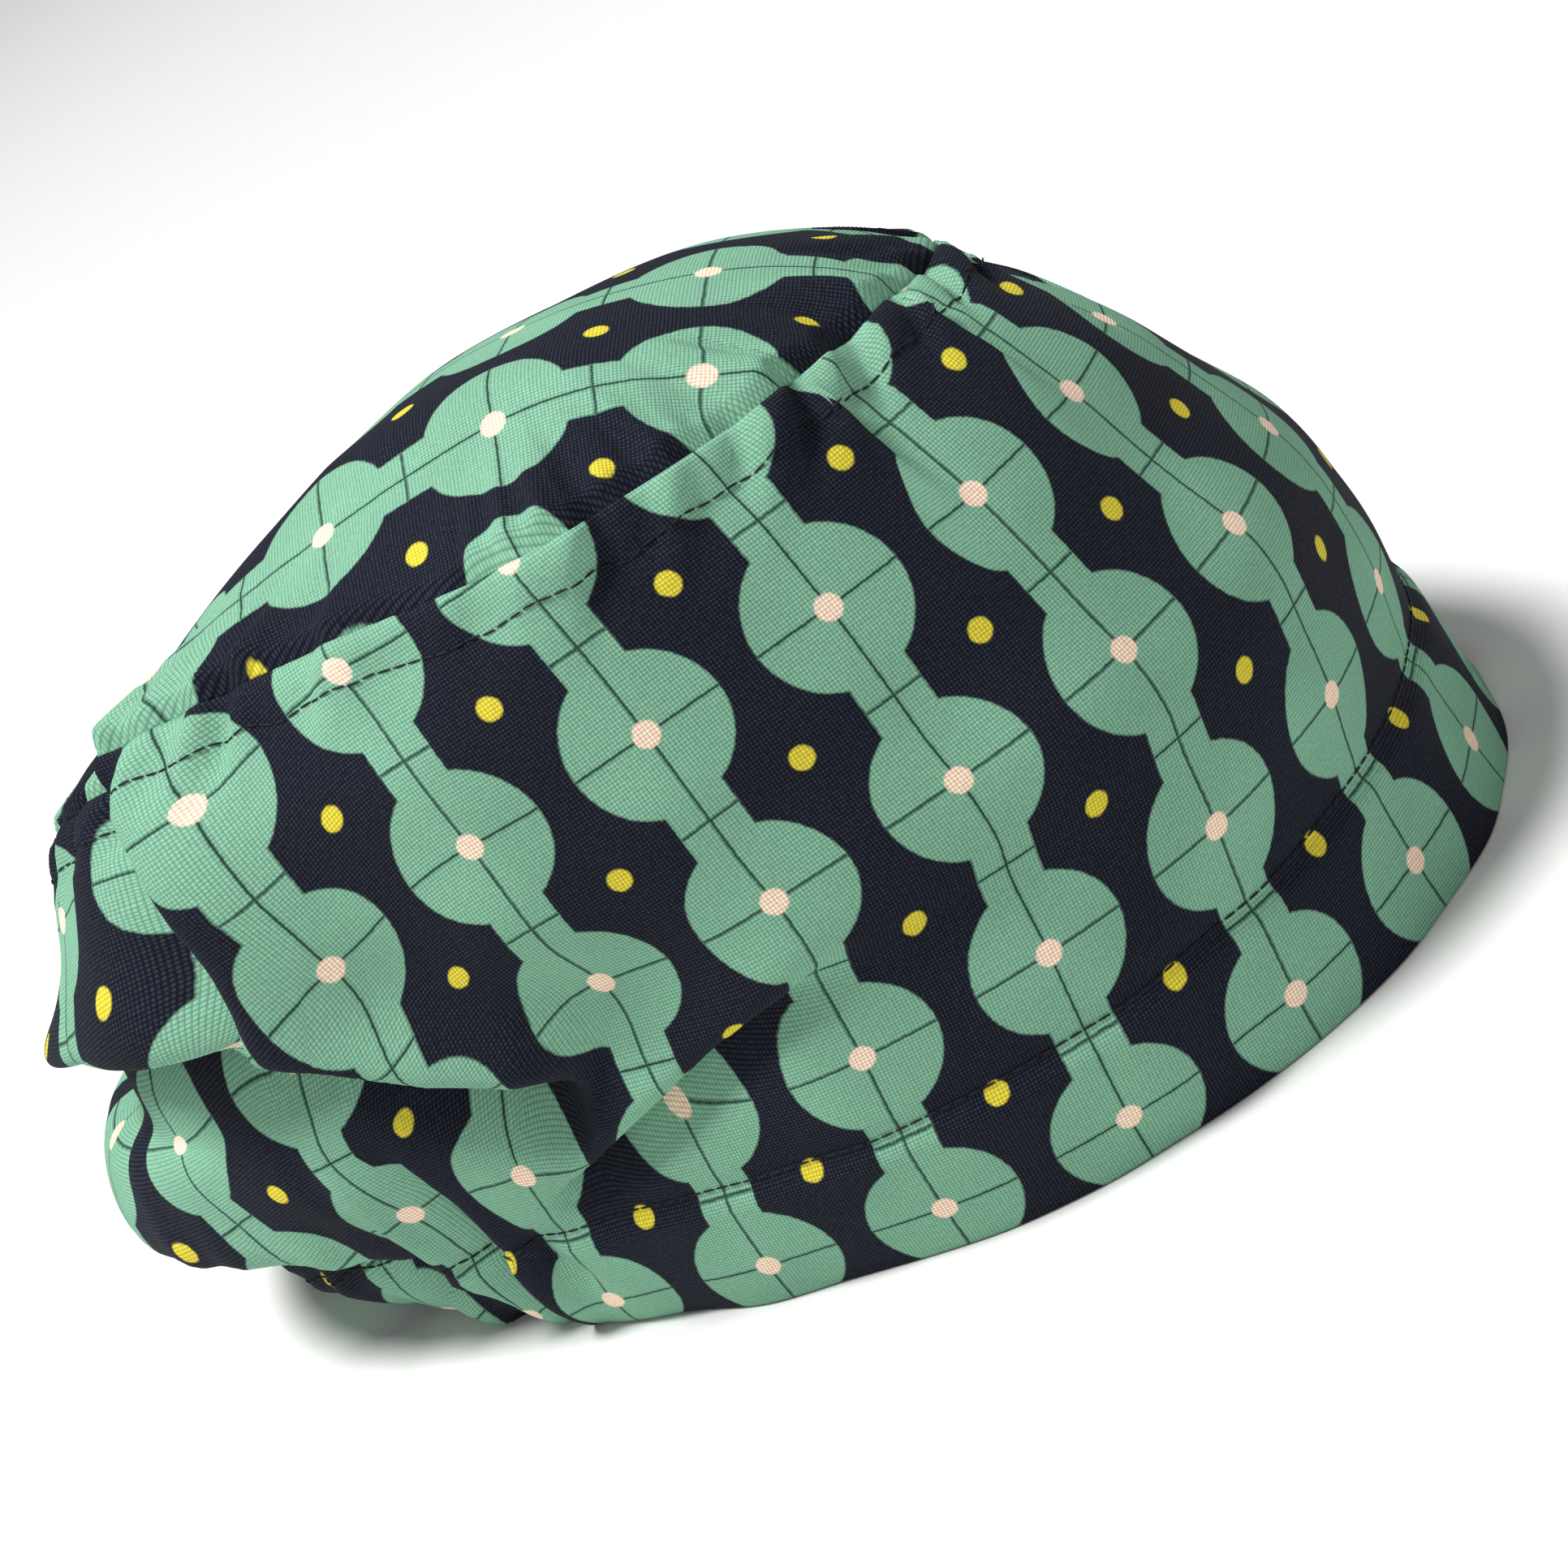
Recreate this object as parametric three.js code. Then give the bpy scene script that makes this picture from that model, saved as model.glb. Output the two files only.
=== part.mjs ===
// A surgical scrub cap of printed cotton, resting on its rim as it would on a table.
// A straight strip of cloth makes the side band; an oval crown panel is sewn into its top,
// with pleats at the front, and the bottom is turned up into a wide hem that an elastic
// gathers at the back. Millimetres, +Z up, front towards -Y, the wearer's left towards +X.
import * as THREE from 'three';

const BAND_WALL = 1.6;       // cloth with its seam allowances, thicker than one ply
const CROWN_WALL = 1.6;
const FACING_WALL = 1.2;     // the turned-up hem, inside the band
const GAP = 0.4;             // clear space between neighbouring pieces
const FACING_LIFT = 1.5;     // the facing stops this far above the hem's fold
const HEM_LEVEL = 2;         // the facing reaches up to this row of LEVELS

const TURNS = 72;            // steps round the cap
const BAND_STEPS = 20;       // steps up the side band
const CROWN_RINGS = 8;       // rings from the crown seam to the top
const FACING_STEPS = 3;

const COTTON_GREEN = '#6fa882';
const COTTON_NAVY = '#1a1e30';
const COTTON_INSIDE = '#4f6a5c';

// Rows run up the wall from the hem's fold to the crown seam. Each column is a measure of
// that level line: how far forward (frontY), back (backY), right (rightX) and left (leftX)
// it reaches, the X of its front and back middles (midX) and the Y where it is widest
// (wideY), its height at the front, sides and back, how fast it drops towards the left
// (lean), because the cap slumps that way, and how square its rear corners are (2 is round).
const LEVELS = [
  { name: 'hem fold',   frontY: -146, backY: 78,  rightX: -88,  leftX: 86, midX: 0,   wideY: -50, frontZ: 0,   sideZ: 0,    backZ: 0,  lean: 0,     square: 2.0 },
  { name: 'turn-up',    frontY: -144, backY: 92,  rightX: -90,  leftX: 86, midX: 0,   wideY: -50, frontZ: 10,  sideZ: 10,   backZ: 4,  lean: 0,     square: 2.2 },
  { name: 'hem stitch', frontY: -142, backY: 103, rightX: -92,  leftX: 84, midX: 0,   wideY: -49, frontZ: 26,  sideZ: 25.5, backZ: 14, lean: 0.006, square: 2.4 },
  { name: 'low swell',  frontY: -143, backY: 110, rightX: -93,  leftX: 80, midX: -2,  wideY: -46, frontZ: 42,  sideZ: 41,   backZ: 28, lean: 0.012, square: 2.6 },
  { name: 'under fold', frontY: -142, backY: 107, rightX: -94,  leftX: 77, midX: -3,  wideY: -43, frontZ: 54,  sideZ: 51.5, backZ: 42, lean: 0.025, square: 2.6 },
  { name: 'fold root',  frontY: -141, backY: 88,  rightX: -96,  leftX: 75, midX: -4,  wideY: -41, frontZ: 62,  sideZ: 58.5, backZ: 52, lean: 0.035, square: 2.5 },
  { name: 'fold lip',   frontY: -139, backY: 100, rightX: -97,  leftX: 72, midX: -6,  wideY: -38, frontZ: 70,  sideZ: 66,   backZ: 56, lean: 0.04,  square: 2.5 },
  { name: 'rear swell', frontY: -134, backY: 95,  rightX: -99,  leftX: 67, midX: -8,  wideY: -30, frontZ: 82,  sideZ: 76.5, backZ: 66, lean: 0.053, square: 2.5 },
  { name: 'side swell', frontY: -127, backY: 86,  rightX: -102, leftX: 60, midX: -10, wideY: -24, frontZ: 96,  sideZ: 88.5, backZ: 75, lean: 0.072, square: 2.5 },
  { name: 'shoulder',   frontY: -117, backY: 79,  rightX: -100, leftX: 54, midX: -12, wideY: -30, frontZ: 109, sideZ: 102,  backZ: 83, lean: 0.127, square: 2.5 },
  { name: 'crown seam', frontY: -105, backY: 74,  rightX: -90,  leftX: 50, midX: -14, wideY: -48, frontZ: 121, sideZ: 116,  backZ: 89, lean: 0.2,   square: 2.5 },
];

// The pleats that take the band's fullness into the crown seam: where each one is, in
// degrees round from the front, and which way its fold leans.
const PLEATS = [
  { turn: -54, lean: 1 }, { turn: -33, lean: 1 }, { turn: -11, lean: 1 },
  { turn: 11, lean: -1 }, { turn: 33, lean: -1 }, { turn: 54, lean: -1 },
];
const PLEAT_DEPTH = 3.0;     // how far a pleat's fold stands off the wall
const PLEAT_WIDTH = 7;       // degrees from the fold to where the cloth is flat again
const PLEAT_REACH = 0.42;    // share of the wall's height that a pleat runs down

// The gathers over the elastic at the back of the hem.
const GATHERS = 15;
const GATHER_DEPTH = 2.2;
const GATHER_REACH = 0.5;    // share of the wall's height that the gathers run up

// The crown's top, and how fast the cloth falls from it towards each side of the seam:
// a high power keeps the crown flat and turns it down near the seam.
const CROWN_TOP = new THREE.Vector3(-42, -50, 149);
const CROWN_FALL = { front: 2.1, right: 1.6, back: 1.3, left: 1.6 };
const CROWN_SEAM_RISE = 2.2; // the crown panel starts this far above the band's top edge

const DEGREE = Math.PI / 180;

function smooth(t) {
  const u = Math.min(1, Math.max(0, t));
  return u * u * (3 - 2 * u);
}

// One column of LEVELS at any height up the wall (0 to 1), as a smooth curve through its rows.
function column(key, up) {
  const place = up * (LEVELS.length - 1);
  const row = Math.min(LEVELS.length - 2, Math.floor(place));
  const value = (index) => LEVELS[Math.min(LEVELS.length - 1, Math.max(0, index))][key];
  const [before, from, to, after] = [-1, 0, 1, 2].map((step) => value(row + step));
  const t = place - row;
  const bend = 2 * before - 5 * from + 4 * to - after;
  const twist = 3 * (from - to) + after - before;
  return from + 0.5 * t * (to - before + t * (bend + t * twist));
}

// A blend of four values by direction: front, right, back or left, at a turn in degrees.
function byDirection(values, turn) {
  const across = Math.sin(turn * DEGREE);
  const along = Math.cos(turn * DEGREE);
  const side = across < 0 ? values.right : values.left;
  const end = along > 0 ? values.front : values.back;
  return side * across * across + end * along * along;
}

function pleatOffset(turn, up) {
  const strength = smooth((up - 1 + PLEAT_REACH) / PLEAT_REACH);
  return PLEATS.reduce((sum, pleat) => {
    const away = (turn - pleat.turn) * pleat.lean / PLEAT_WIDTH;
    const rises = away >= 0 && away < 1 ? 1 - away : 0;
    const drops = away < 0 && away > -0.35 ? 1 + away / 0.35 : 0;
    return sum + PLEAT_DEPTH * strength * Math.max(rises, drops);
  }, 0);
}

function gatherOffset(turn, up) {
  const back = smooth((Math.abs(turn) - 100) / 25);
  const low = 1 - smooth(up / GATHER_REACH);
  const wave = Math.cos(GATHERS * 2 * turn * DEGREE) - 1;
  return 0.5 * GATHER_DEPTH * back * low * wave;
}

// The middle of the band's cloth at a turn (degrees from the front) and height (0 to 1).
function wallPoint(turn, up) {
  const across = Math.sin(turn * DEGREE);
  const along = Math.cos(turn * DEGREE);
  const power = along > 0 ? 1 : 2 / column('square', up);
  const midX = column('midX', up);
  const wideY = column('wideY', up);
  const reachX = column(across < 0 ? 'rightX' : 'leftX', up) - midX;
  const reachY = column(along > 0 ? 'frontY' : 'backY', up) - wideY;
  const puff = 1 + (pleatOffset(turn, up) + gatherOffset(turn, up)) / Math.abs(reachX);
  const x = midX + reachX * puff * Math.abs(across) ** power;
  const y = wideY + reachY * puff * Math.abs(along) ** power;
  const endZ = column(along > 0 ? 'frontZ' : 'backZ', up);
  const level = column('sideZ', up) * across * across + endZ * along * along;
  return new THREE.Vector3(x, y, level - column('lean', up) * x);
}

// The middle of the crown's cloth: rim is 1 at the seam and 0 at the top.
function crownPoint(turn, rim) {
  const seam = wallPoint(turn, 1);
  seam.z += CROWN_SEAM_RISE;
  const fall = rim ** byDirection(CROWN_FALL, turn);
  const point = CROWN_TOP.clone().lerp(seam, rim);
  point.z = THREE.MathUtils.lerp(CROWN_TOP.z, seam.z, fall);
  return point;
}

// The cloth's outward normal, from two short steps along the surface.
function surfaceNormal(pointAt, turn, way) {
  const step = 0.004;
  const low = Math.max(0, way - step);
  const high = Math.min(1, way + step);
  const round = pointAt(turn + 0.4, way).sub(pointAt(turn - 0.4, way));
  const up = pointAt(turn, high).sub(pointAt(turn, low));
  return round.cross(up).normalize();
}

// A closed wall of cloth round the cap, from its foot to a height (0 to 1), between two
// offsets from the middle of the band's cloth, and lifted off the table by lift.
function wrapWall(steps, top, outer, inner, lift) {
  const vertices = [];
  const faces = [];
  const skins = [outer, inner];
  const index = (skin, row, turn) => (skin * (steps + 1) + row) * TURNS + turn % TURNS;
  for (const offset of skins) {
    for (let row = 0; row <= steps; row += 1) {
      for (let place = 0; place < TURNS; place += 1) {
        const turn = -180 + place * 360 / TURNS;
        const up = top * row / steps;
        const point = wallPoint(turn, up);
        point.addScaledVector(surfaceNormal(wallPoint, turn, up), offset);
        const height = row === 0 ? 0 : point.z; // the first row lies flat, as on a table
        vertices.push(point.x, point.y, height + lift);
      }
    }
  }
  const quad = (a, b, c, d) => faces.push(a, b, c, a, c, d);
  for (let turn = 0; turn < TURNS; turn += 1) {
    for (let row = 0; row < steps; row += 1) {
      quad(index(0, row, turn), index(0, row, turn + 1), index(0, row + 1, turn + 1), index(0, row + 1, turn));
      quad(index(1, row, turn), index(1, row + 1, turn), index(1, row + 1, turn + 1), index(1, row, turn + 1));
    }
    quad(index(0, 0, turn), index(1, 0, turn), index(1, 0, turn + 1), index(0, 0, turn + 1));
    quad(index(0, steps, turn), index(0, steps, turn + 1), index(1, steps, turn + 1), index(1, steps, turn));
  }
  return bodyFrom(vertices, faces);
}

// The crown: an outer and an inner skin of rings that close at the top, joined at the seam.
function crownWall() {
  const vertices = [];
  const faces = [];
  const skins = [CROWN_WALL / 2, -CROWN_WALL / 2];
  const ring = (skin, row, turn) => 2 + (skin * CROWN_RINGS + row) * TURNS + turn % TURNS;
  for (const offset of skins) {
    vertices.push(CROWN_TOP.x, CROWN_TOP.y, CROWN_TOP.z + offset);
  }
  for (const offset of skins) {
    for (let row = 0; row < CROWN_RINGS; row += 1) {
      const rim = 1 - row / CROWN_RINGS;
      for (let place = 0; place < TURNS; place += 1) {
        const turn = -180 + place * 360 / TURNS;
        const point = crownPoint(turn, rim);
        point.addScaledVector(surfaceNormal(crownPoint, turn, rim), -offset);
        vertices.push(point.x, point.y, point.z);
      }
    }
  }
  for (let turn = 0; turn < TURNS; turn += 1) {
    for (let row = 0; row < CROWN_RINGS - 1; row += 1) {
      faces.push(ring(0, row, turn), ring(0, row, turn + 1), ring(0, row + 1, turn + 1));
      faces.push(ring(0, row, turn), ring(0, row + 1, turn + 1), ring(0, row + 1, turn));
      faces.push(ring(1, row, turn), ring(1, row + 1, turn + 1), ring(1, row, turn + 1));
      faces.push(ring(1, row, turn), ring(1, row + 1, turn), ring(1, row + 1, turn + 1));
    }
    const last = CROWN_RINGS - 1;
    faces.push(ring(0, last, turn), ring(0, last, turn + 1), 0);
    faces.push(ring(1, last, turn + 1), ring(1, last, turn), 1);
    faces.push(ring(0, 0, turn), ring(1, 0, turn), ring(1, 0, turn + 1));
    faces.push(ring(0, 0, turn), ring(1, 0, turn + 1), ring(0, 0, turn + 1));
  }
  return bodyFrom(vertices, faces);
}

function bodyFrom(vertices, faces) {
  const geometry = new THREE.BufferGeometry();
  geometry.setAttribute('position', new THREE.Float32BufferAttribute(vertices, 3));
  geometry.setIndex(faces);
  geometry.computeVertexNormals();
  return geometry;
}

function cotton(colour) {
  return new THREE.MeshStandardMaterial({ color: colour, roughness: 0.85, metalness: 0 });
}

function sideBand() {
  const geometry = wrapWall(BAND_STEPS, 1, BAND_WALL / 2, -BAND_WALL / 2, 0);
  const mesh = new THREE.Mesh(geometry, cotton(COTTON_GREEN));
  mesh.name = 'side_band';
  return mesh;
}

function crown() {
  const mesh = new THREE.Mesh(crownWall(), cotton(COTTON_NAVY));
  mesh.name = 'crown';
  return mesh;
}

function hemFacing() {
  const outer = -BAND_WALL / 2 - GAP;
  const top = HEM_LEVEL / (LEVELS.length - 1);
  const geometry = wrapWall(FACING_STEPS, top, outer, outer - FACING_WALL, FACING_LIFT);
  const mesh = new THREE.Mesh(geometry, cotton(COTTON_INSIDE));
  mesh.name = 'hem_facing';
  return mesh;
}

const cap = new THREE.Group();
cap.add(sideBand(), crown(), hemFacing());

// The origin is the middle of the cap's outline on the table, so the whole cap shifts there.
const box = new THREE.Box3().setFromObject(cap);
const middle = box.getCenter(new THREE.Vector3());
cap.position.set(-middle.x, -middle.y, -box.min.z);

export default cap;
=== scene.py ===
# %% [markdown]
# # A surgical scrub cap in printed cotton
# The cap is sewn from flat cloth: a straight strip makes the side band, an oval panel makes
# the crown, and the band's lower edge is turned up into a hem that an elastic gathers at the
# back. Cloth like this is a surface first and a solid last, so each panel starts as a flat
# grid, is laid onto the cap's shape, is folded, and gets its thickness at the end.
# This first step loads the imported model, whose box every piece keeps to within a few
# millimetres.

# %% Load the frame
import math

import bmesh
import bpy
import numpy as np
from mathutils import Euler, Matrix, Vector


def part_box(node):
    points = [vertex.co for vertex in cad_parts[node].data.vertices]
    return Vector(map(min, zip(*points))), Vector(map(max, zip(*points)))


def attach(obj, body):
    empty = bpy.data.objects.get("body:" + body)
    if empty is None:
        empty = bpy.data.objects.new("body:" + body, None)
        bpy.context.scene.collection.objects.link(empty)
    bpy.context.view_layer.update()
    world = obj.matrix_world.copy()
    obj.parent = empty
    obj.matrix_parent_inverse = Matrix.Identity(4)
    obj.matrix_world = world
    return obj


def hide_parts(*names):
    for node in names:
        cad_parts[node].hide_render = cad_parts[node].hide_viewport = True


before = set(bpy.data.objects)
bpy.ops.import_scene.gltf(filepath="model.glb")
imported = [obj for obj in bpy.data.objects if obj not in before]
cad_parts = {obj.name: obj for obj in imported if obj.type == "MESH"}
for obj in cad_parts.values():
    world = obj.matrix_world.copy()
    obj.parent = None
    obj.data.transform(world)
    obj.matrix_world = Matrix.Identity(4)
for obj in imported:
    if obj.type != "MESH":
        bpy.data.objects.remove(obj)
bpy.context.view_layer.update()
MM = 0.001

# %% [markdown]
# ## Camera
# The camera stands at the wearer's right, a little in front and above, and is rolled so that
# the cap leans over. A close camera makes the near side large, so the distance matters as
# much as the angle.

# %% Camera
VIEW_AZIMUTH = -61.0       # degrees round from straight in front
VIEW_ELEVATION = 23.7
VIEW_ROLL = -32.5
VIEW_DISTANCE = 0.590      # metres
LENS_MM = 78.3
SENSOR_MM = 36
FARTHEST_SEEN = 50         # metres
AIM = Vector((0.002, -0.0145, 0.0455))


def make_camera():
    data = bpy.data.cameras.new("camera")
    data.lens = LENS_MM
    data.sensor_width = SENSOR_MM
    data.clip_end = FARTHEST_SEEN
    camera = bpy.data.objects.new("camera", data)
    bpy.context.collection.objects.link(camera)
    turn = Euler((math.radians(90 - VIEW_ELEVATION), 0, math.radians(VIEW_AZIMUTH))).to_matrix()
    turn = turn @ Matrix.Rotation(math.radians(-VIEW_ROLL), 3, "Z").inverted()
    place = AIM + turn @ Vector((0, 0, VIEW_DISTANCE))
    camera.matrix_world = Matrix.Translation(place) @ turn.to_4x4()
    bpy.context.scene.camera = camera
    return camera


view = make_camera()
print("camera in metres:", view.matrix_world.translation[:])

# %% [markdown]
# ## Light
# A large soft lamp high behind the cap gives the light of a studio table and leaves the folds
# on the near side in shadow. Two weak lamps in front keep that side from going flat, and an
# even white sky fills the rest. The Standard view transform shows colours as they are
# written, which suits a printed cloth.

# %% Light
# name: (place in metres, width in metres, power in watts)
LAMPS = {
    "key_lamp": ((-0.8, 0.96, 3.04), 0.95, 150),
    "fill_lamp": ((-1.3, -0.3, 0.9), 0.5, 2),
    "front_lamp": ((-0.2, -1.4, 0.9), 0.8, 3),
}
SKY_WHITE = (1, 1, 1, 1)
SKY_STRENGTH = 0.22


def make_lamp(name, place, size, power):
    data = bpy.data.lights.new(name, "AREA")
    data.shape = "DISK"
    data.size = size
    data.energy = power
    lamp = bpy.data.objects.new(name, data)
    bpy.context.collection.objects.link(lamp)
    aim = AIM - Vector(place)
    lamp.matrix_world = Matrix.Translation(place) @ aim.to_track_quat("-Z", "Y").to_matrix().to_4x4()
    return lamp


def make_sky():
    world = bpy.data.worlds.new("studio")
    world.use_nodes = True
    sky = world.node_tree.nodes["Background"]
    sky.inputs["Color"].default_value = SKY_WHITE
    sky.inputs["Strength"].default_value = SKY_STRENGTH
    bpy.context.scene.world = world


for name, (place, size, power) in LAMPS.items():
    make_lamp(name, place, size, power)
make_sky()
bpy.context.scene.view_settings.view_transform = "Standard"
print("lamps:", ", ".join(LAMPS))

# %% [markdown]
# ## Nodes and colours
# A material is a small graph of nodes. One helper adds a node, sets its options, joins its
# inputs, whether an input is a number or another node's output, and hands back one of its
# outputs. Colours are written as sRGB hex, as a dyer's chart would give them, and turned to
# the linear values that light adds up in.

# %% Node and colour helpers


def linear(colour):
    channels = [int(colour[i:i + 2], 16) / 255 for i in (1, 3, 5)]
    return [c / 12.92 if c <= 0.04045 else ((c + 0.055) / 1.055) ** 2.4 for c in channels] + [1]


def add(tree, kind, inputs=(), out=0, **settings):
    """Adds one node with its settings and links, and gives back its output of that name."""
    node = tree.nodes.new("ShaderNode" + kind)
    for key, value in settings.items():
        setattr(node, key, value)
    pairs = inputs.items() if isinstance(inputs, dict) else enumerate(inputs)
    for key, value in pairs:
        if isinstance(value, bpy.types.NodeSocket):
            tree.links.new(value, node.inputs[key])
        else:
            node.inputs[key].default_value = value
    return node.outputs[out] if node.outputs else node


def new_material(name):
    material = bpy.data.materials.new(name)
    material.use_nodes = True
    material.node_tree.nodes.clear()
    return material


# %% [markdown]
# ## The printed cotton
# The cloth is plain-woven quilting cotton, screen printed in rows of discs joined by bars.
# The print is drawn from distances inside one square repeat, so that it stays sharp at any
# size: a disc, a bar, three hairlines and two kinds of dot. Wrapping the cloth's own UV map,
# which counts repeats, from -0.5 to 0.5 gives the place in the repeat, measured from the
# disc's middle. Each shape is then one comparison, and a small wander of that place makes
# the ink's edge follow the threads.

# %% The print
REPEAT_MM = 32.0
DISC_RADIUS = 0.395
BAR_HALF_WIDTH = 0.155
HAIRLINE_HALF_WIDTH = 0.0072
DISC_DOT_RADIUS = 0.066
GROUND_DOT_RADIUS = 0.060
INK_BLUR = 0.008           # these are all in repeats
NAVY = "#101423"
GREEN = "#7CAF93"
HAIRLINE = "#12372F"
PINK = "#FADCC4"
YELLOW = "#DCCB3C"


def within(tree, distance, edge):
    """1 where a distance is under edge and 0 past it, blurred as ink is in cloth."""
    return add(tree, "MapRange", [distance, edge + INK_BLUR, edge - INK_BLUR, 0, 1],
               interpolation_type="SMOOTHSTEP")


def printed_colour(tree, cloth):
    """The print's colour at a place on the cloth, which is given in repeats."""
    cell = add(tree, "VectorMath", [cloth, (0.5, 0.5, 0.5), (-0.5, -0.5, -0.5)], operation="WRAP")
    side = add(tree, "VectorMath", [cell], operation="ABSOLUTE")
    from_row = add(tree, "SeparateXYZ", [side], out="X")
    from_disc = from_row.node.outputs["Y"]
    from_bar = add(tree, "Math", [0.5, from_disc], operation="SUBTRACT")
    from_middle = add(tree, "VectorMath", [cell], out="Value", operation="LENGTH")
    from_corner = add(tree, "VectorMath", [side, (0.5, 0.5, 0)], out="Value",
                      operation="DISTANCE")
    disc = within(tree, from_middle, DISC_RADIUS)
    bar = within(tree, from_row, BAR_HALF_WIDTH)
    row_line = within(tree, from_row, HAIRLINE_HALF_WIDTH)
    near_disc_line = within(tree, from_disc, HAIRLINE_HALF_WIDTH)
    near_bar_line = within(tree, from_bar, HAIRLINE_HALF_WIDTH)
    disc_line = add(tree, "Math", [near_disc_line, disc], operation="MULTIPLY")
    bar_line = add(tree, "Math", [near_bar_line, bar], operation="MULTIPLY")
    cross_line = add(tree, "Math", [disc_line, bar_line], operation="MAXIMUM")
    layers = (
        (add(tree, "Math", [disc, bar], operation="MAXIMUM"), GREEN),
        (add(tree, "Math", [row_line, cross_line], operation="MAXIMUM"), HAIRLINE),
        (within(tree, from_middle, DISC_DOT_RADIUS), PINK),
        (within(tree, from_corner, GROUND_DOT_RADIUS), YELLOW),
    )
    colour = linear(NAVY)
    for share, ink in layers:
        colour = add(tree, "Mix", {0: share, 6: colour, 7: linear(ink)}, out=2, data_type="RGBA")
    return colour


# %% [markdown]
# Quilting cotton is woven from matt, slightly fuzzy yarn, so it has no gloss, but light
# catches the tops of its threads and a little pale fibre shows between them. The yarn is
# about 0.43 mm apart and is drawn 0.6 mm apart, which is as fine as the render can show. Two
# crossed sines, counted on the cloth's own UV map, are high where a thread comes up.

# %% Weave
THREAD_MM = 0.60


def weave_height(tree, cloth):
    """How high the cloth stands at a place: 0 between the threads, 1 on top of one."""
    half_turns = math.pi * REPEAT_MM / THREAD_MM
    turns = add(tree, "VectorMath", {0: cloth, "Scale": half_turns}, operation="SCALE")
    waves = add(tree, "VectorMath", [turns], operation="SINE")
    crowns = add(tree, "VectorMath", [waves], operation="ABSOLUTE")
    warp = add(tree, "SeparateXYZ", [crowns], out="X")
    return add(tree, "Math", [warp, warp.node.outputs["Y"]], operation="MULTIPLY")


print("threads in a repeat:", round(REPEAT_MM / THREAD_MM))

# %% [markdown]
# The colour is darkened in the hollows between the threads as painted shade and lightened on
# their tops as painted light. It is uneven where the yarn is thick or thin, and faintly cloudy
# every few centimetres. Cotton scatters light and has next to no specular. The reverse shows
# the print too, paler, because the ink comes only part of the way through.

# %% Printed cotton
UNDYED = "#B9C4BF"
REVERSE_WASH = 0.45        # how much undyed cloth shows everywhere on the reverse
BARE_FIBRE = 0.04          # how much of it shows on worn threads
EDGE_WANDER = 0.012        # how far the ink's edge strays, in repeats
EDGE_SCALE = 30            # strays in a repeat, each about 1 mm
SLUB_SCALE = 45            # thick places of the yarn in a repeat, each about 0.7 mm
CLOUD_SCALE = 1.6          # cloudy places in a repeat, each about 20 mm
# Painted shade and painted light: the colour is multiplied by the first in the hollows between threads and
# by the second on their tops.
PAINTED_HOLLOW_SHADE = 0.58
PAINTED_THREAD_LIGHT = 1.10
SLUB_HEIGHT = 0.8          # against a thread's height of 1
WEAVE_RELIEF = 0.0002      # metres


def printed_cotton(name, wash):
    """Cotton printed on its face; wash is how much of the undyed cloth shows everywhere."""
    material = new_material(name)
    tree = material.node_tree
    cloth = add(tree, "UVMap", uv_map="cloth")
    wander = add(tree, "TexNoise", {"Vector": cloth, "Scale": EDGE_SCALE, "Detail": 2}, out="Color")
    shift = add(tree, "VectorMath", [wander, (0.5, 0.5, 0.5)], operation="SUBTRACT")
    edge = add(tree, "VectorMath", {0: shift, "Scale": EDGE_WANDER}, operation="SCALE")
    colour = printed_colour(tree, add(tree, "VectorMath", [cloth, edge], operation="ADD"))
    weave = weave_height(tree, cloth)
    slub = add(tree, "TexNoise", {"Vector": cloth, "Scale": SLUB_SCALE, "Detail": 4})
    cloudy = add(tree, "TexNoise", {"Vector": cloth, "Scale": CLOUD_SCALE, "Detail": 3})
    worn = add(tree, "Math", [weave, slub], operation="MULTIPLY")
    bare = add(tree, "MapRange", [worn, 0.12, 0.5, wash, wash + BARE_FIBRE])
    colour = add(tree, "Mix", {0: bare, 6: colour, 7: linear(UNDYED)}, out=2, data_type="RGBA")
    shade = add(tree, "MapRange", [cloudy, 0.3, 0.7, 0.93, 1.07])
    grain = add(tree, "MapRange", [slub, 0.3, 0.7, 0.90, 1.10])
    # Painted shade in the hollows between the threads and painted light on their tops, taken from the
    # weave's height.
    painted_weave_shade = add(tree, "MapRange", [weave, 0.0, 0.6, PAINTED_HOLLOW_SHADE, PAINTED_THREAD_LIGHT])
    tone = add(tree, "Math", [shade, grain], operation="MULTIPLY")
    tone = add(tree, "Math", [tone, painted_weave_shade], operation="MULTIPLY")
    colour = add(tree, "VectorMath", {0: colour, "Scale": tone}, operation="SCALE")
    height = add(tree, "Math", [slub, SLUB_HEIGHT, weave], operation="MULTIPLY_ADD")
    bump = add(tree, "Bump", {"Height": height, "Strength": 0.4, "Distance": WEAVE_RELIEF})
    shader = add(tree, "BsdfPrincipled", {
        "Base Color": colour, "Normal": bump, "Roughness": 0.88,
        "Sheen Weight": 0.01, "Sheen Roughness": 0.4, "Specular IOR Level": 0.12})
    add(tree, "OutputMaterial", [shader])
    return material


cotton_face = printed_cotton("printed_cotton_face", 0.0)
cotton_reverse = printed_cotton("printed_cotton_reverse", REVERSE_WASH)
print("cotton materials:", cotton_face.name, cotton_reverse.name)

# %% [markdown]
# Sewing thread is spun polyester: dark, a little glossier than the cloth, and uneven where
# its plies twist, which a fine noise along the object gives as bump and as two near blacks.

# %% Thread
THREAD_BLACK = "#0E1113"
THREAD_WORN = "#23282B"
TWISTS_IN_A_METRE = 4000
PLY_RELIEF = 0.0001        # metres


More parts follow.
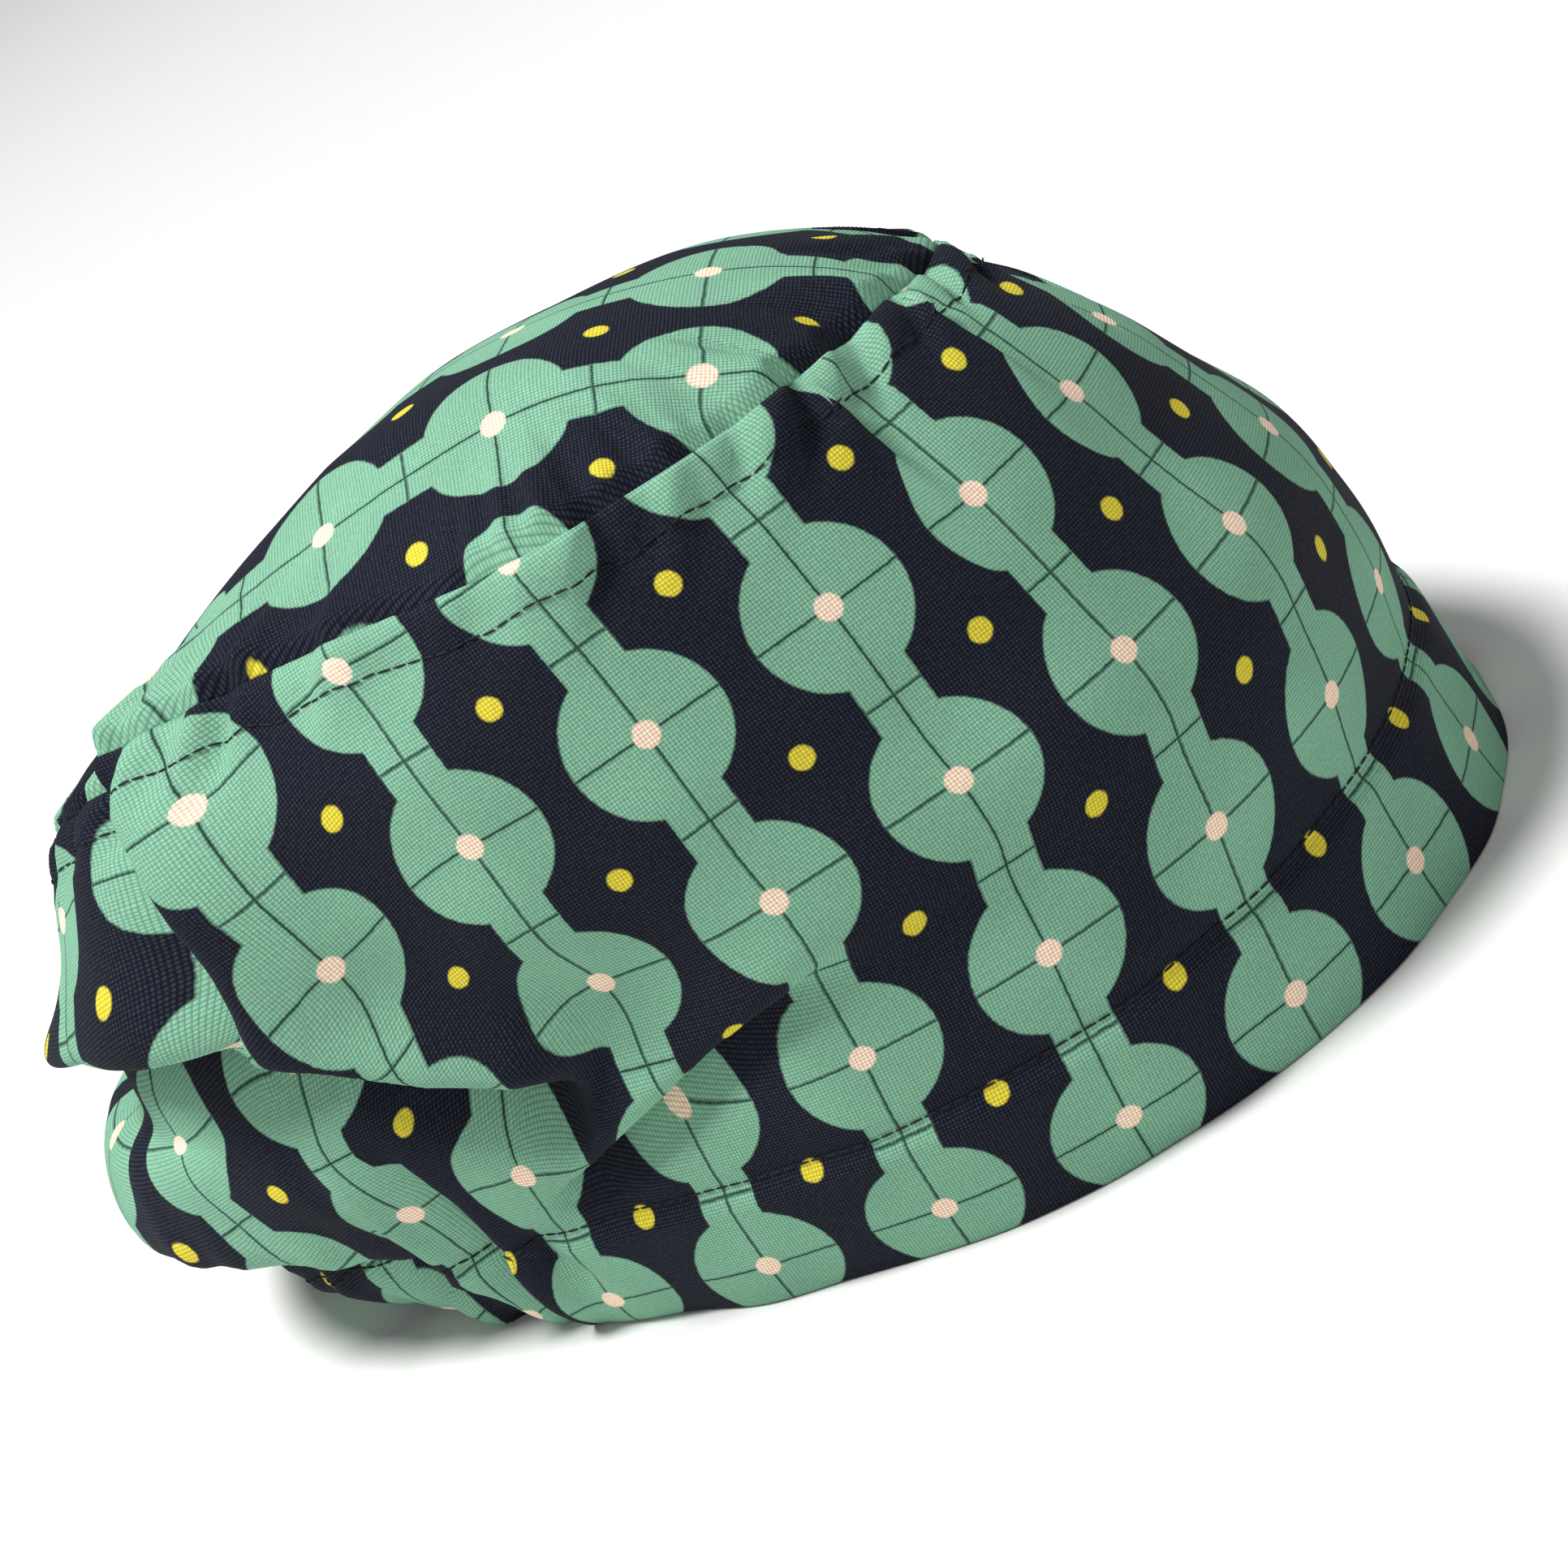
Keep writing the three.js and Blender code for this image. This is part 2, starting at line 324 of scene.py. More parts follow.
def spun_thread():
    material = new_material("spun_polyester_thread")
    tree = material.node_tree
    where = add(tree, "TexCoord", out="Object")
    twist = add(tree, "TexNoise", {"Vector": where, "Scale": TWISTS_IN_A_METRE, "Detail": 1})
    colour = add(tree, "Mix", {0: twist, 6: linear(THREAD_BLACK), 7: linear(THREAD_WORN)},
                 out=2, data_type="RGBA")
    bump = add(tree, "Bump", {"Height": twist, "Strength": 0.4, "Distance": PLY_RELIEF})
    shader = add(tree, "BsdfPrincipled", {
        "Base Color": colour, "Normal": bump, "Roughness": 0.7, "Specular IOR Level": 0.2})
    add(tree, "OutputMaterial", [shader])
    return material


thread = spun_thread()
print("thread material:", thread.name)

# %% [markdown]
# The table is matt white paint, with a faint unevenness in its roughness. It isn't part of
# the cap, so it is only staged.

# %% Table
TABLE_WHITE = "#E6E6E4"
TABLE_REACH = 9            # metres each way


def painted_table():
    material = new_material("matt_white_paint")
    tree = material.node_tree
    where = add(tree, "TexCoord", out="Object")
    grain = add(tree, "TexNoise", {"Vector": where, "Scale": 90, "Detail": 3})
    roughness = add(tree, "MapRange", [grain, 0.3, 0.7, 0.75, 0.9])
    shader = add(tree, "BsdfPrincipled", {"Base Color": linear(TABLE_WHITE), "Roughness": roughness})
    add(tree, "OutputMaterial", [shader])
    return material


def make_table():
    mesh = bpy.data.meshes.new("table")
    bm = bmesh.new()
    bmesh.ops.create_grid(bm, x_segments=1, y_segments=1, size=TABLE_REACH)
    bm.to_mesh(mesh)
    bm.free()
    table = bpy.data.objects.new("table", mesh)
    bpy.context.collection.objects.link(table)
    mesh.materials.append(painted_table())
    return table


print("staged:", make_table().name)

# %% [markdown]
# ## The shape of the side band
# The band's wall is known on a few level lines, from the hem's fold up to the crown seam.
# Each row of the table says how far such a line reaches forward, back, right and left, where
# its middles are, how high it lies and how square its rear is. A smooth curve through each
# column gives every line between them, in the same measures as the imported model, and the
# packed band's box says where that table sits in the frame.

# %% Level lines of the band
COLUMNS = ("front_y", "back_y", "right_x", "left_x", "mid_x", "wide_y",
           "front_z", "side_z", "back_z", "lean", "square", "cloth_front")
LEVELS = {
    "hem fold": (-146, 78, -88, 86, 0, -50, 0, 0, 0, 0, 2.0, -5),
    "turn-up": (-144, 92, -90, 86, 0, -50, 10, 10, 4, 0, 2.2, -4),
    "hem stitch": (-142, 103, -92, 84, 0, -49, 26, 25.5, 14, 0.006, 2.4, -2),
    "low swell": (-143, 110, -93, 80, -2, -46, 42, 41, 28, 0.012, 2.6, 0.5),
    "under fold": (-142, 107, -94, 77, -3, -43, 54, 51.5, 42, 0.025, 2.6, 3),
    "fold root": (-141, 98, -96, 75, -4, -41, 62, 58.5, 50, 0.035, 2.5, 5.5),
    "fold lip": (-139, 99, -97, 72, -6, -38, 70, 66, 57, 0.04, 2.5, 8),
    "rear swell": (-134, 95, -99, 67, -8, -30, 82, 76.5, 66, 0.053, 2.5, 9),
    "side swell": (-127, 86, -102, 60, -10, -24, 96, 88.5, 75, 0.072, 2.5, 10),
    "shoulder": (-117, 79, -100, 54, -12, -30, 109, 102, 83, 0.127, 2.5, 13),
    "crown seam": (-105, 74, -90, 50, -14, -48, 121, 116, 89, 0.2, 2.5, 19),
}
BAND_HALF_WALL = 0.8
BAND_LOW, BAND_HIGH = (np.array(corner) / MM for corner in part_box("side_band"))
SHIFT = np.array([BAND_HIGH[0] - LEVELS["hem fold"][3] - BAND_HALF_WALL,
                  BAND_LOW[1] - LEVELS["hem fold"][0] + BAND_HALF_WALL, 0.0])
print("table shift in mm:", SHIFT.round(2))


# %% [markdown]
# A wall point is found from the table in two steps: the columns at its height, then a rounded
# oval through their four reaches. The oval's rear may be squarer than its front, because the
# cap is pressed flat there by its own weight.

# %% The wall's surface


def columns_at(up):
    """Every column of LEVELS at the heights up (0 to 1), as smooth curves through the rows."""
    rows = np.array(list(LEVELS.values()), float)
    last = len(rows) - 1
    place = np.clip(up, 0, 1) * last
    row = np.minimum(last - 1, place.astype(int))
    t = (place - row)[..., None]
    before, start, end, after = (rows[np.clip(row + step, 0, last)] for step in (-1, 0, 1, 2))
    bend = 2 * before - 5 * start + 4 * end - after
    twist = 3 * (start - end) + after - before
    values = start + 0.5 * t * (end - before + t * (bend + t * twist))
    return {name: values[..., index] for index, name in enumerate(COLUMNS)}


def wall_point(turn, up):
    """The band's smooth surface at a turn in radians from the front and a height from 0 to 1."""
    c = columns_at(up)
    across, along = np.sin(turn), np.cos(turn)
    power = np.where(along > 0, 1, 2 / c["square"])
    reach_x = np.where(across < 0, c["right_x"], c["left_x"]) - c["mid_x"]
    reach_y = np.where(along > 0, c["front_y"], c["back_y"]) - c["wide_y"]
    x = c["mid_x"] + reach_x * np.abs(across) ** power
    y = c["wide_y"] + reach_y * np.abs(along) ** power
    end_z = np.where(along > 0, c["front_z"], c["back_z"])
    z = c["side_z"] * across ** 2 + end_z * along ** 2 - c["lean"] * x
    return np.stack([x, y, z], axis=-1)


print("right ear, hem and seam, in mm:", wall_point(-math.pi / 2, np.array([0.0, 1.0])).round(1).tolist())


# %% [markdown]
# ## Laying the cloth round the cap
# Cloth keeps its length. So each thread that runs up the band is placed by how far round the
# cloth it is, measured along every level line from the front, and not by an angle: that is
# why the rows of discs lean where the wall leans. The pleats swallow a little cloth near the
# crown, and the back, where the elastic pulls, takes what is left over. The grid's columns
# stand closer together where small folds need them.

# %% The cloth's threads
HALF_BAND = 330.0          # cloth from the front middle to the back middle
BAND_COLUMNS = 430
BAND_ROWS = 106
FINE_STEPS = 6600
LEFT_FROM = 110.0          # the left side is smoother past here
FEWER_AT_LEFT = 0.35
REAR_FROM, REAR_TO = 160.0, 290.0          # the right side's big folds
MORE_AT_REAR = 0.7
MORE_AT_PLEAT = 2.0
TRUE_AT_HEM = 198.0        # how far round the cloth lies unsqueezed, where the elastic starts
TRUE_ABOVE = {"right": 215.0, "left": 60.0}
BUNCHING = 0.60            # how much more the elastic crowds the cloth at its ends
PLEATS = ((-64, -72), (-33, -40), (-2, -8), (18, 24), (49, 56), (80, 88))  # foot and top of each
PLEAT_TAKE_UP = 5.0
PLEAT_SPAN = 9.0
PLEAT_START = 0.55         # share of the wall below the pleats


def ease(t):
    t = np.clip(t, 0, 1)
    return t * t * (3 - 2 * t)


def hump(distance, width):
    return np.exp(-(distance / width) ** 2)


def band_threads():
    """Where the grid's columns lie on the cloth: close together at the pleats and rear folds."""
    fine = np.linspace(-HALF_BAND, HALF_BAND, FINE_STEPS + 1)
    need = 1 - FEWER_AT_LEFT * ease((fine - LEFT_FROM) / 60)
    need += MORE_AT_REAR * ease((-fine - REAR_FROM) / 15) * ease((fine + REAR_TO) / 20)
    for foot, top in PLEATS:
        need += MORE_AT_PLEAT * hump(fine - (foot + 2 * top) / 3, 6)
    share = np.concatenate([[0], np.cumsum(need[1:])])
    return np.interp(np.linspace(0, share[-1], BAND_COLUMNS + 1), share, fine)


thread_places = band_threads()
print("columns stand", np.diff(thread_places).min().round(2), "to",
      np.diff(thread_places).max().round(2), "mm apart")

# %% [markdown]
# Each level line is measured once as a fine chain of points. Along it the cloth lies true up
# to a point behind the ear, and from there what is left of the strip is spread over what is
# left of the wall, closer at first, where the elastic's end pulls hardest.

# %% Lay the cloth along the level lines
LINE_POINTS = 2401
ELASTIC_ENDS = 0.2         # share of the wall where the elastic's pull starts to fade
ELASTIC_FADE = 0.4


def taken_up(distance, up, side):
    """Cloth hidden in pleats between the front middle and a distance round one side."""
    hidden = np.zeros_like(distance)
    for foot, top in PLEATS:
        if top * side > 0:
            hidden += ease((distance - abs(top)) / PLEAT_SPAN + 0.5)
    return PLEAT_TAKE_UP * hidden * ease((up - PLEAT_START) / (1 - PLEAT_START))


def lay_level(columns, up):
    """Points on one level line at signed cloth distances from the front middle, left is plus."""
    turns = np.linspace(-math.pi, math.pi, LINE_POINTS)
    line = wall_point(turns, np.full_like(turns, up))
    steps = np.linalg.norm(np.diff(line, axis=0), axis=1)
    along = np.concatenate([[0], np.cumsum(steps)])
    along -= along[LINE_POINTS // 2]
    start = float(columns_at(up)["cloth_front"])
    placed = np.zeros_like(columns)
    loose = float(ease((up - ELASTIC_ENDS) / ELASTIC_FADE))
    for side, hand, wall_end in ((-1, "right", -along[0]), (1, "left", along[-1])):
        true = TRUE_AT_HEM + (TRUE_ABOVE[hand] - TRUE_AT_HEM) * loose
        here = columns * side >= 0
        distance = np.append(columns[here] * side, [true, HALF_BAND])
        reach = distance - taken_up(distance, up, side) + side * start
        edge, cloth_end = reach[-2], reach[-1]
        behind = np.clip((reach - edge) / (cloth_end - edge), 0, 1)
        bunched = behind + BUNCHING * (1 - loose) * (behind ** 2 - behind)
        reach = np.where(reach > edge, edge + bunched * (wall_end - edge), reach)
        placed[here] = side * reach[:-2]
    return np.stack([np.interp(placed, along, line[:, axis]) for axis in range(3)], axis=-1)


def lay_band():
    """The band's smooth surface as rows of points, with the cloth's round and up measures."""
    rows = np.linspace(0, 1, BAND_ROWS + 1)
    points = np.stack([lay_level(thread_places, up) for up in rows])
    rise = np.linalg.norm(np.diff(points, axis=0), axis=2)
    up_cloth = np.concatenate([np.zeros((1, len(thread_places))), np.cumsum(rise, axis=0)])
    return points, np.broadcast_to(thread_places, up_cloth.shape), up_cloth


band_smooth, band_round, band_up = lay_band()
print("band's smooth height in mm:", band_up[-1].min().round(1), "to", band_up[-1].max().round(1))

# %% [markdown]
# ## Folds
# A crease is a ridge or a valley: the cloth moves in or out by a hump across a short path.
# Where cloth hangs over itself it is a tuck: one side of the path moves out and over, the
# other moves in and under, which makes an S in section. Paths are charted on the flat cloth
# in millimetres, round from the front middle (right is minus) and up from the hem, with a
# strength at each point, so a fold keeps its place on the print wherever the cloth goes.
# A tuck's overhanging lip is on the left of its path as it is travelled.

# %% Fold charts
# name: (how far out, how far over, width, path of (round, up, strength))
TUCKS = {
    "rear overhang": (12, 10, 9.5, ((-330, 84, 1), (-290, 87, 1), (-256, 91, 1), (-224, 87, 1),
                                   (-207, 79, 1), (-193, 69, 1), (-182, 61, 0.7), (-170, 54, 0))),
    "far overhang": (10, 9, 9.5, ((170, 58, 0), (200, 66, 0.4), (240, 75, 0.7), (290, 81, 0.9),
                                  (330, 84, 1))),
    "second lip": (5.5, 5.5, 7.5, ((-330, 46, 0.5), (-300, 47, 0.8), (-280, 45, 1), (-262, 40, 1),
                               (-248, 32, 1), (-238, 22, 0.6), (-230, 10, 0))),
    "rear corner": (10, 17, 12.5, ((-209, 142, 0.8), (-209, 126, 1), (-210, 110, 0.9),
                                  (-212, 98, 0.6), (-214, 88, 0.1))),
    "behind the ear": (2.6, 2.4, 5.5, ((-213, 56, 0), (-213, 44, 0.8), (-212, 30, 1), (-211, 14, 1),
                                       (-210, 0, 0.8))),
    "ear drag": (3.2, 2.6, 5.5, ((-192, 34, 0), (-181, 38, 1), (-170, 43, 1), (-161, 47, 1),
                                 (-150, 52, 0.9), (-140, 56, 0.7), (-122, 62, 0))),
}
# name: (how far out, width, path of (round, up, strength))
CREASES = {
    "middle swell": (5, 14, ((-330, 58, 1), (-290, 58, 1), (-256, 57, 1), (-228, 50, 0.8), (-210, 44, 0))),
    "far swell": (3, 15, ((220, 52, 0), (260, 57, 1), (330, 58, 1))),
    "behind the corner": (-5, 9, ((-222, 142, 0.6), (-221, 120, 1), (-220, 104, 0.7), (-218, 90, 0))),
    "ear pinch": (-1.6, 5, ((-201, 30, 0), (-198, 24, 1), (-194, 12, 0.6), (-192, 4, 0))),
    "slit": (-1.4, 2, ((-198, 26, 0), (-197, 23, 1), (-194, 17, 1), (-193, 13, 0))),
    "strip valley": (-3, 5, ((-248, 40, 0), (-240, 30, 0.8), (-234, 17, 1), (-228, 3, 0.6))),
    "strip ridge": (1.6, 4, ((-236, 52, 0), (-231, 38, 1), (-226, 20, 1), (-222, 3, 0.5))),
    "cheek dent": (-3.2, 11, ((-176, 66, 0), (-166, 66, 1), (-152, 70, 0.7), (-138, 76, 0))),
    "cheek ridge": (2.4, 9, ((-190, 86, 0), (-170, 84, 1), (-150, 84, 0.6), (-130, 88, 0))),
}


print("tucks:", ", ".join(TUCKS))
print("creases:", ", ".join(CREASES))

# %% [markdown]
# To fold the cloth, every point has to know how far it is from a path and on which side. The
# nearest of the path's straight runs answers both, and how far along that run the point
# stands gives the fold's strength there.

# %% Distance to a path


def to_path(path, across, up):
    """For each point of the cloth: signed distance to a path, its direction and its strength."""
    path = np.array(path, float)
    best = np.full(across.shape, np.inf)
    signed = np.zeros(across.shape)
    strength = np.zeros(across.shape)
    heading = np.zeros(across.shape + (2,))
    for start, end in zip(path[:-1], path[1:]):
        run = end[:2] - start[:2]
        reach = np.hypot(*run)
        way = run / reach
        from_start = np.stack([across - start[0], up - start[1]], axis=-1)
        along = np.clip(from_start @ way / reach, 0, 1)
        offset = from_start - along[..., None] * run
        distance = np.hypot(offset[..., 0], offset[..., 1])
        nearer = distance < best
        side = np.sign(way[0] * offset[..., 1] - way[1] * offset[..., 0])
        best = np.where(nearer, distance, best)
        signed = np.where(nearer, side * distance, signed)
        strength = np.where(nearer, start[2] + along * (end[2] - start[2]), strength)
        heading = np.where(nearer[..., None], way, heading)
    return signed, heading, strength


# %% [markdown]
# Cloth is never quite still between its folds either. A seeded noise, smooth over a given
# number of millimetres, gives slow undulations everywhere, the crowded small gathers that
# the elastic pulls into the back of the hem, and the puckers that sewing leaves along the
# crown seam.

# %% Soft noise
NOISE_SIDE = 97            # cells each way before the noise repeats
NOISE_START = (48, 24)     # the cell where the front middle of the hem lies


def soft_noise(across, up, size, seed):
    """Smooth noise of about -1 to 1 that changes over size millimetres each way."""
    table = np.random.default_rng(seed).uniform(-1, 1, (NOISE_SIDE, NOISE_SIDE))
    x = across / size[0] + NOISE_START[0]
    y = up / size[1] + NOISE_START[1]
    column, row = np.floor(x).astype(int), np.floor(y).astype(int)
    u, v = ease(x - column), ease(y - row)
    left, right = column % NOISE_SIDE, (column + 1) % NOISE_SIDE
    below, above = row % NOISE_SIDE, (row + 1) % NOISE_SIDE
    low = table[below, left] * (1 - u) + table[below, right] * u
    high = table[above, left] * (1 - u) + table[above, right] * u
    return low * (1 - v) + high * v


# %% [markdown]
# Slow swells and dents are everywhere. The other small folds are this noise drawn out in one
# direction, because cloth that is crowded sideways wrinkles in long thin ridges, and they
# fade away from the seam, stitch line or elastic that causes them.

# %% Small folds
TOP_STITCH_MM = 7.6        # below the crown seam
HEM_STITCH_MM = 27.2       # above the hem's fold
BACK_STARTS = 205.0        # round the band from the front
BACK_FADE_MM = 25.0
GATHER_REACH_MM = 42.0     # up from the hem's fold
PUCKER_REACH_MM = 9.0      # down from the seam
RIPPLE_UP_MM = 20.0        # the hem ripples most at this height
RIPPLE_REACH_MM = 14.0
# name: (height, (size round, size up), seed), in mm
WRINKLES = {
    "swell": (1.3, (34, 30), 3),
    "dents": (0.6, (15, 18), 8),
    "gathers": (2.3, (5.2, 34), 5),
    "puckers": (2.1, (4.2, 22), 11),
    "hem": (0.5, (12, 40), 21),
}


def wrinkle(name, across, up):
    height, size, seed = WRINKLES[name]
    return height * soft_noise(across, up, size, seed)


def small_folds(across, up, from_seam):
    """How far the small wrinkles move the cloth outwards."""
    back = ease((np.abs(across) - BACK_STARTS) / BACK_FADE_MM)
    slow = wrinkle("swell", across, up) + wrinkle("dents", across, up)
    gathers = wrinkle("gathers", across + 3 * np.sin(up / 14), up)
    gathers *= back * hump(up, GATHER_REACH_MM)
    puckers = wrinkle("puckers", across + 0.7 * from_seam, up)
    puckers *= hump(from_seam - 3, PUCKER_REACH_MM)
    hem = wrinkle("hem", across, up) * hump(up - RIPPLE_UP_MM, RIPPLE_REACH_MM)
    return slow + gathers + puckers + hem


print("wrinkles:", ", ".join(WRINKLES))


# %% [markdown]
# The stitch lines pull the cloth in a little, the doubled hem stands out below its stitch
# line, and both edges of the crown seam roll inwards, so the seam shows as a groove. At each
# pleat one edge of the cloth lies on the other. A tuck follows the curve t times exp(-t
# squared), which swings once each way and dies out on both sides.

# %% Fold the band
STITCH_GROOVE = 0.45
HEM_GROOVE_MM = 1.6
TOP_GROOVE_MM = 1.4
HEM_FLARE = 1.3
FLARE_RISE_MM = 4.0
SEAM_ROLL = 0.8
SEAM_ROLL_MM = 1.2
PLEAT_STEP = 1.0
PLEAT_REACH = 36.0         # how far down from the seam a pleat runs
PLEAT_RISE = 1.6           # how soon it reaches its full step
PLEAT_EDGE_MM = 0.9
PLEAT_WIDE_MM = 8.0
S_PEAK = math.sqrt(2) * math.exp(0.5)      # brings the curve's peaks to 1
LIP_SHARE = 0.5            # the lip moves less than the cloth that goes under it
ROOT_SHARE = 1.7


def surface_frame(points):
    """Unit directions round and up a grid of points, and its outward normal."""
    across = np.gradient(points, axis=1)
    up = np.gradient(points, axis=0)
    across /= np.linalg.norm(across, axis=2, keepdims=True) + 1e-12
    normal = np.cross(across, up)
    normal /= np.linalg.norm(normal, axis=2, keepdims=True) + 1e-12
    return across, np.cross(normal, across), normal


def fold_band(points, across, up):
    """Moves the smooth band's points by every wrinkle, groove, pleat, crease and tuck."""
    round_way, up_way, normal = surface_frame(points)
    from_seam = up[-1] - up
    out = small_folds(across, up, from_seam)
    out -= STITCH_GROOVE * hump(up - HEM_STITCH_MM, HEM_GROOVE_MM)
    out -= STITCH_GROOVE * hump(from_seam - TOP_STITCH_MM, TOP_GROOVE_MM)
    out += HEM_FLARE * ease((HEM_STITCH_MM - up) / FLARE_RISE_MM)
    for foot, top in PLEATS:
        share = 1 - from_seam / PLEAT_REACH
        toward_back = (across - foot - (top - foot) * share) * np.sign(top)
        step = np.tanh(toward_back / PLEAT_EDGE_MM) * hump(toward_back, PLEAT_WIDE_MM)
        out += PLEAT_STEP * ease(share * PLEAT_RISE) * step
    for height, width, path in CREASES.values():
        signed, _, strength = to_path(path, across, up)
        out += height * strength * hump(signed, width)
    out -= SEAM_ROLL * hump(from_seam, SEAM_ROLL_MM)
    moved = points + out[..., None] * normal
    for height, over, width, path in TUCKS.values():
        signed, heading, strength = to_path(path, across, up)
        wave = S_PEAK * signed / width * hump(signed, width) * strength
        wave *= np.where(signed > 0, LIP_SHARE, ROOT_SHARE)
        sideways = heading[..., 0:1] * up_way - heading[..., 1:2] * round_way
        moved += height * wave[..., None] * normal - over * wave[..., None] * sideways
    return moved


# %% [markdown]
# The strip's two ends meet at the back middle, and the cap lies on a table, so cloth that was
# folded past either is brought back. Cloth that lies flat has its thickness below it, so it
# keeps higher than cloth that stands.

# %% Close the back and clear the table
BACK_SEAM_MM = 25.0        # over this much cloth the two ends are drawn together
CLOTH_MM = 0.9
TABLE_GAP_MM = 0.3         # the lowest cloth keeps this far above the table


def close_back(points, across):
    """Brings the two ends of the strip together at the back middle."""
    gap = points[:, :1] - points[:, -1:]
    fade = ease((np.abs(across) - HALF_BAND) / BACK_SEAM_MM + 1)[..., None]
    return points - np.sign(-across)[..., None] * fade * gap / 2


band_points = close_back(fold_band(band_smooth, band_round, band_up), band_round)
lying = np.maximum(surface_frame(band_points)[2][..., 2], 0)
band_points[..., 2] = np.maximum(band_points[..., 2], TABLE_GAP_MM + CLOTH_MM * lying)
print("folded band's lowest point in mm:", band_points[..., 2].min().round(2))

# %% [markdown]
# The folds use up cloth, so more of the print lies on a folded stretch of the wall than on a
# smooth one. The true height of a point is the length of its column up to it. A thread that
# runs round the band can't jump from one column to the next, so these heights are evened out
# round the band, and part of the extra length is taken as the cloth's give.

# %% Level the threads
band_rise = np.linalg.norm(np.diff(band_points, axis=0), axis=2)
band_true_up = np.concatenate([np.zeros((1, band_rise.shape[1])), np.cumsum(band_rise, axis=0)])
EVEN_MM = 14.0             # threads keep level over this distance
CLOTH_GAIN = 0.35          # share of the folds' extra length that is cloth and not give


def level_threads(true_up):
    """How far up the flat cloth each point is: true heights, evened out round the band."""
    columns = band_round[0]
    share = np.exp(-((columns[:, None] - columns[None]) / EVEN_MM) ** 2) * np.gradient(columns)
    share /= share.sum(axis=1, keepdims=True)
    return band_up + CLOTH_GAIN * (true_up - band_up) @ share.T


band_cloth_up = level_threads(band_true_up)
print("band's folded height in mm:", band_true_up[-1].min().round(1), "to",
      band_true_up[-1].max().round(1))

# %% [markdown]
# ## From grid to cloth
# A panel starts as Blender's flat grid. Its points are moved to their laid places, and its
# UV map keeps where each of them was on the flat cloth, counted in print repeats. A Solidify
# modifier then gives the cloth its thickness on the inside, with the reverse of the print.

# %% Cloth panels
FIRST_ROW = 0.3            # the hem's fold is this share of a repeat below the first discs
MERGE_METRES = 2e-5        # points closer than this are one


def lay_cloth(name, points, cloth, thickness, outside, inside):
    """A named piece of cloth from rows of points in mm and their cloth places in repeats."""
    rows, columns = points.shape[0] - 1, points.shape[1] - 1
    bm = bmesh.new()
    bmesh.ops.create_grid(bm, x_segments=columns, y_segments=rows, size=1)
    print_map = bm.loops.layers.uv.new("cloth")
    places = (points + SHIFT) * MM
    for vert in bm.verts:
        column = round((vert.co.x + 1) / 2 * columns)
        row = round((vert.co.y + 1) / 2 * rows)
        vert.co = places[row, column]
        for loop in vert.link_loops:
            loop[print_map].uv = cloth[row, column]
    bmesh.ops.remove_doubles(bm, verts=bm.verts, dist=MERGE_METRES)
    for face in bm.faces:
        face.smooth = True
    mesh = bpy.data.meshes.new(name)
    bm.to_mesh(mesh)
    bm.free()
    piece = bpy.data.objects.new(name, mesh)
    bpy.context.collection.objects.link(piece)
    mesh.materials.append(outside)
    mesh.materials.append(inside)
    wall = piece.modifiers.new("cloth thickness", "SOLIDIFY")
    wall.thickness = thickness * MM
    wall.offset = -1
    wall.material_offset = 1
    wall.material_offset_rim = 0
    area = sum(polygon.area for polygon in mesh.polygons)
    print(name, "faces:", len(mesh.polygons), "one-layer area in square metres:", round(area, 4))
    return piece


def cloth_places(across, up):
    return np.stack([across / REPEAT_MM, up / REPEAT_MM - FIRST_ROW], axis=-1)


band_piece = lay_cloth("printed_side_band", band_points, cloth_places(band_round, band_cloth_up),
                       CLOTH_MM, cotton_face, cotton_reverse)

# %% [markdown]
# ## The hem's facing
# The band's lower edge is turned up inside to the stitch line, and the elastic runs between
# the two layers. Only this inner layer needs to be made: the same rows of points, moved
# inwards past the band's thickness, with the print running down again from the fold.

# %% Hem facing
FACING_LOW = 0.8
FACING_HIGH = 27.0
FACING_ROWS = 18
FACING_IN = 1.5
FACING_MM = 0.7


def lay_facing():
    """Rows of points inside the band, from just above its fold to the stitch line."""
    heights = np.linspace(FACING_LOW, FACING_HIGH, FACING_ROWS + 1)
    normal = surface_frame(band_points)[2]
    inner = band_points - FACING_IN * normal
    points = np.zeros((len(heights), inner.shape[1], 3))
    for column in range(inner.shape[1]):
        for axis in range(3):
            points[:, column, axis] = np.interp(heights, band_true_up[:, column],
                                                inner[:, column, axis])
    points[..., 2] = np.maximum(points[..., 2], TABLE_GAP_MM + FACING_MM)
    across = np.broadcast_to(band_round[0], points.shape[:2])
    up = np.broadcast_to(-heights[:, None], points.shape[:2])
    return points, cloth_places(across, up)


facing_points, facing_cloth = lay_facing()
facing_piece = lay_cloth("hem_facing_strip", facing_points, facing_cloth, FACING_MM,
                         cotton_reverse, cotton_face)

# %% [markdown]
# ## The crown
# The crown is one oval panel with its own straight grain, so its rows of discs cross the
# band's at a slant. A square grid is pressed into a disc, which has no crowded middle as a
# fan of triangles would. The cloth's places are true lengths out from the top, so that the
# discs stay round where the panel turns down.

# %% Crown surface
CROWN_TOP = np.array([-42.0, -50.0, 149.0])
CROWN_FALL = {"front": 2.1, "right": 1.6, "back": 1.3, "left": 1.6}
CROWN_RISE = 2.2
CROWN_GRID = 200
SPOKES = 360
SPOKE_STEPS = 60


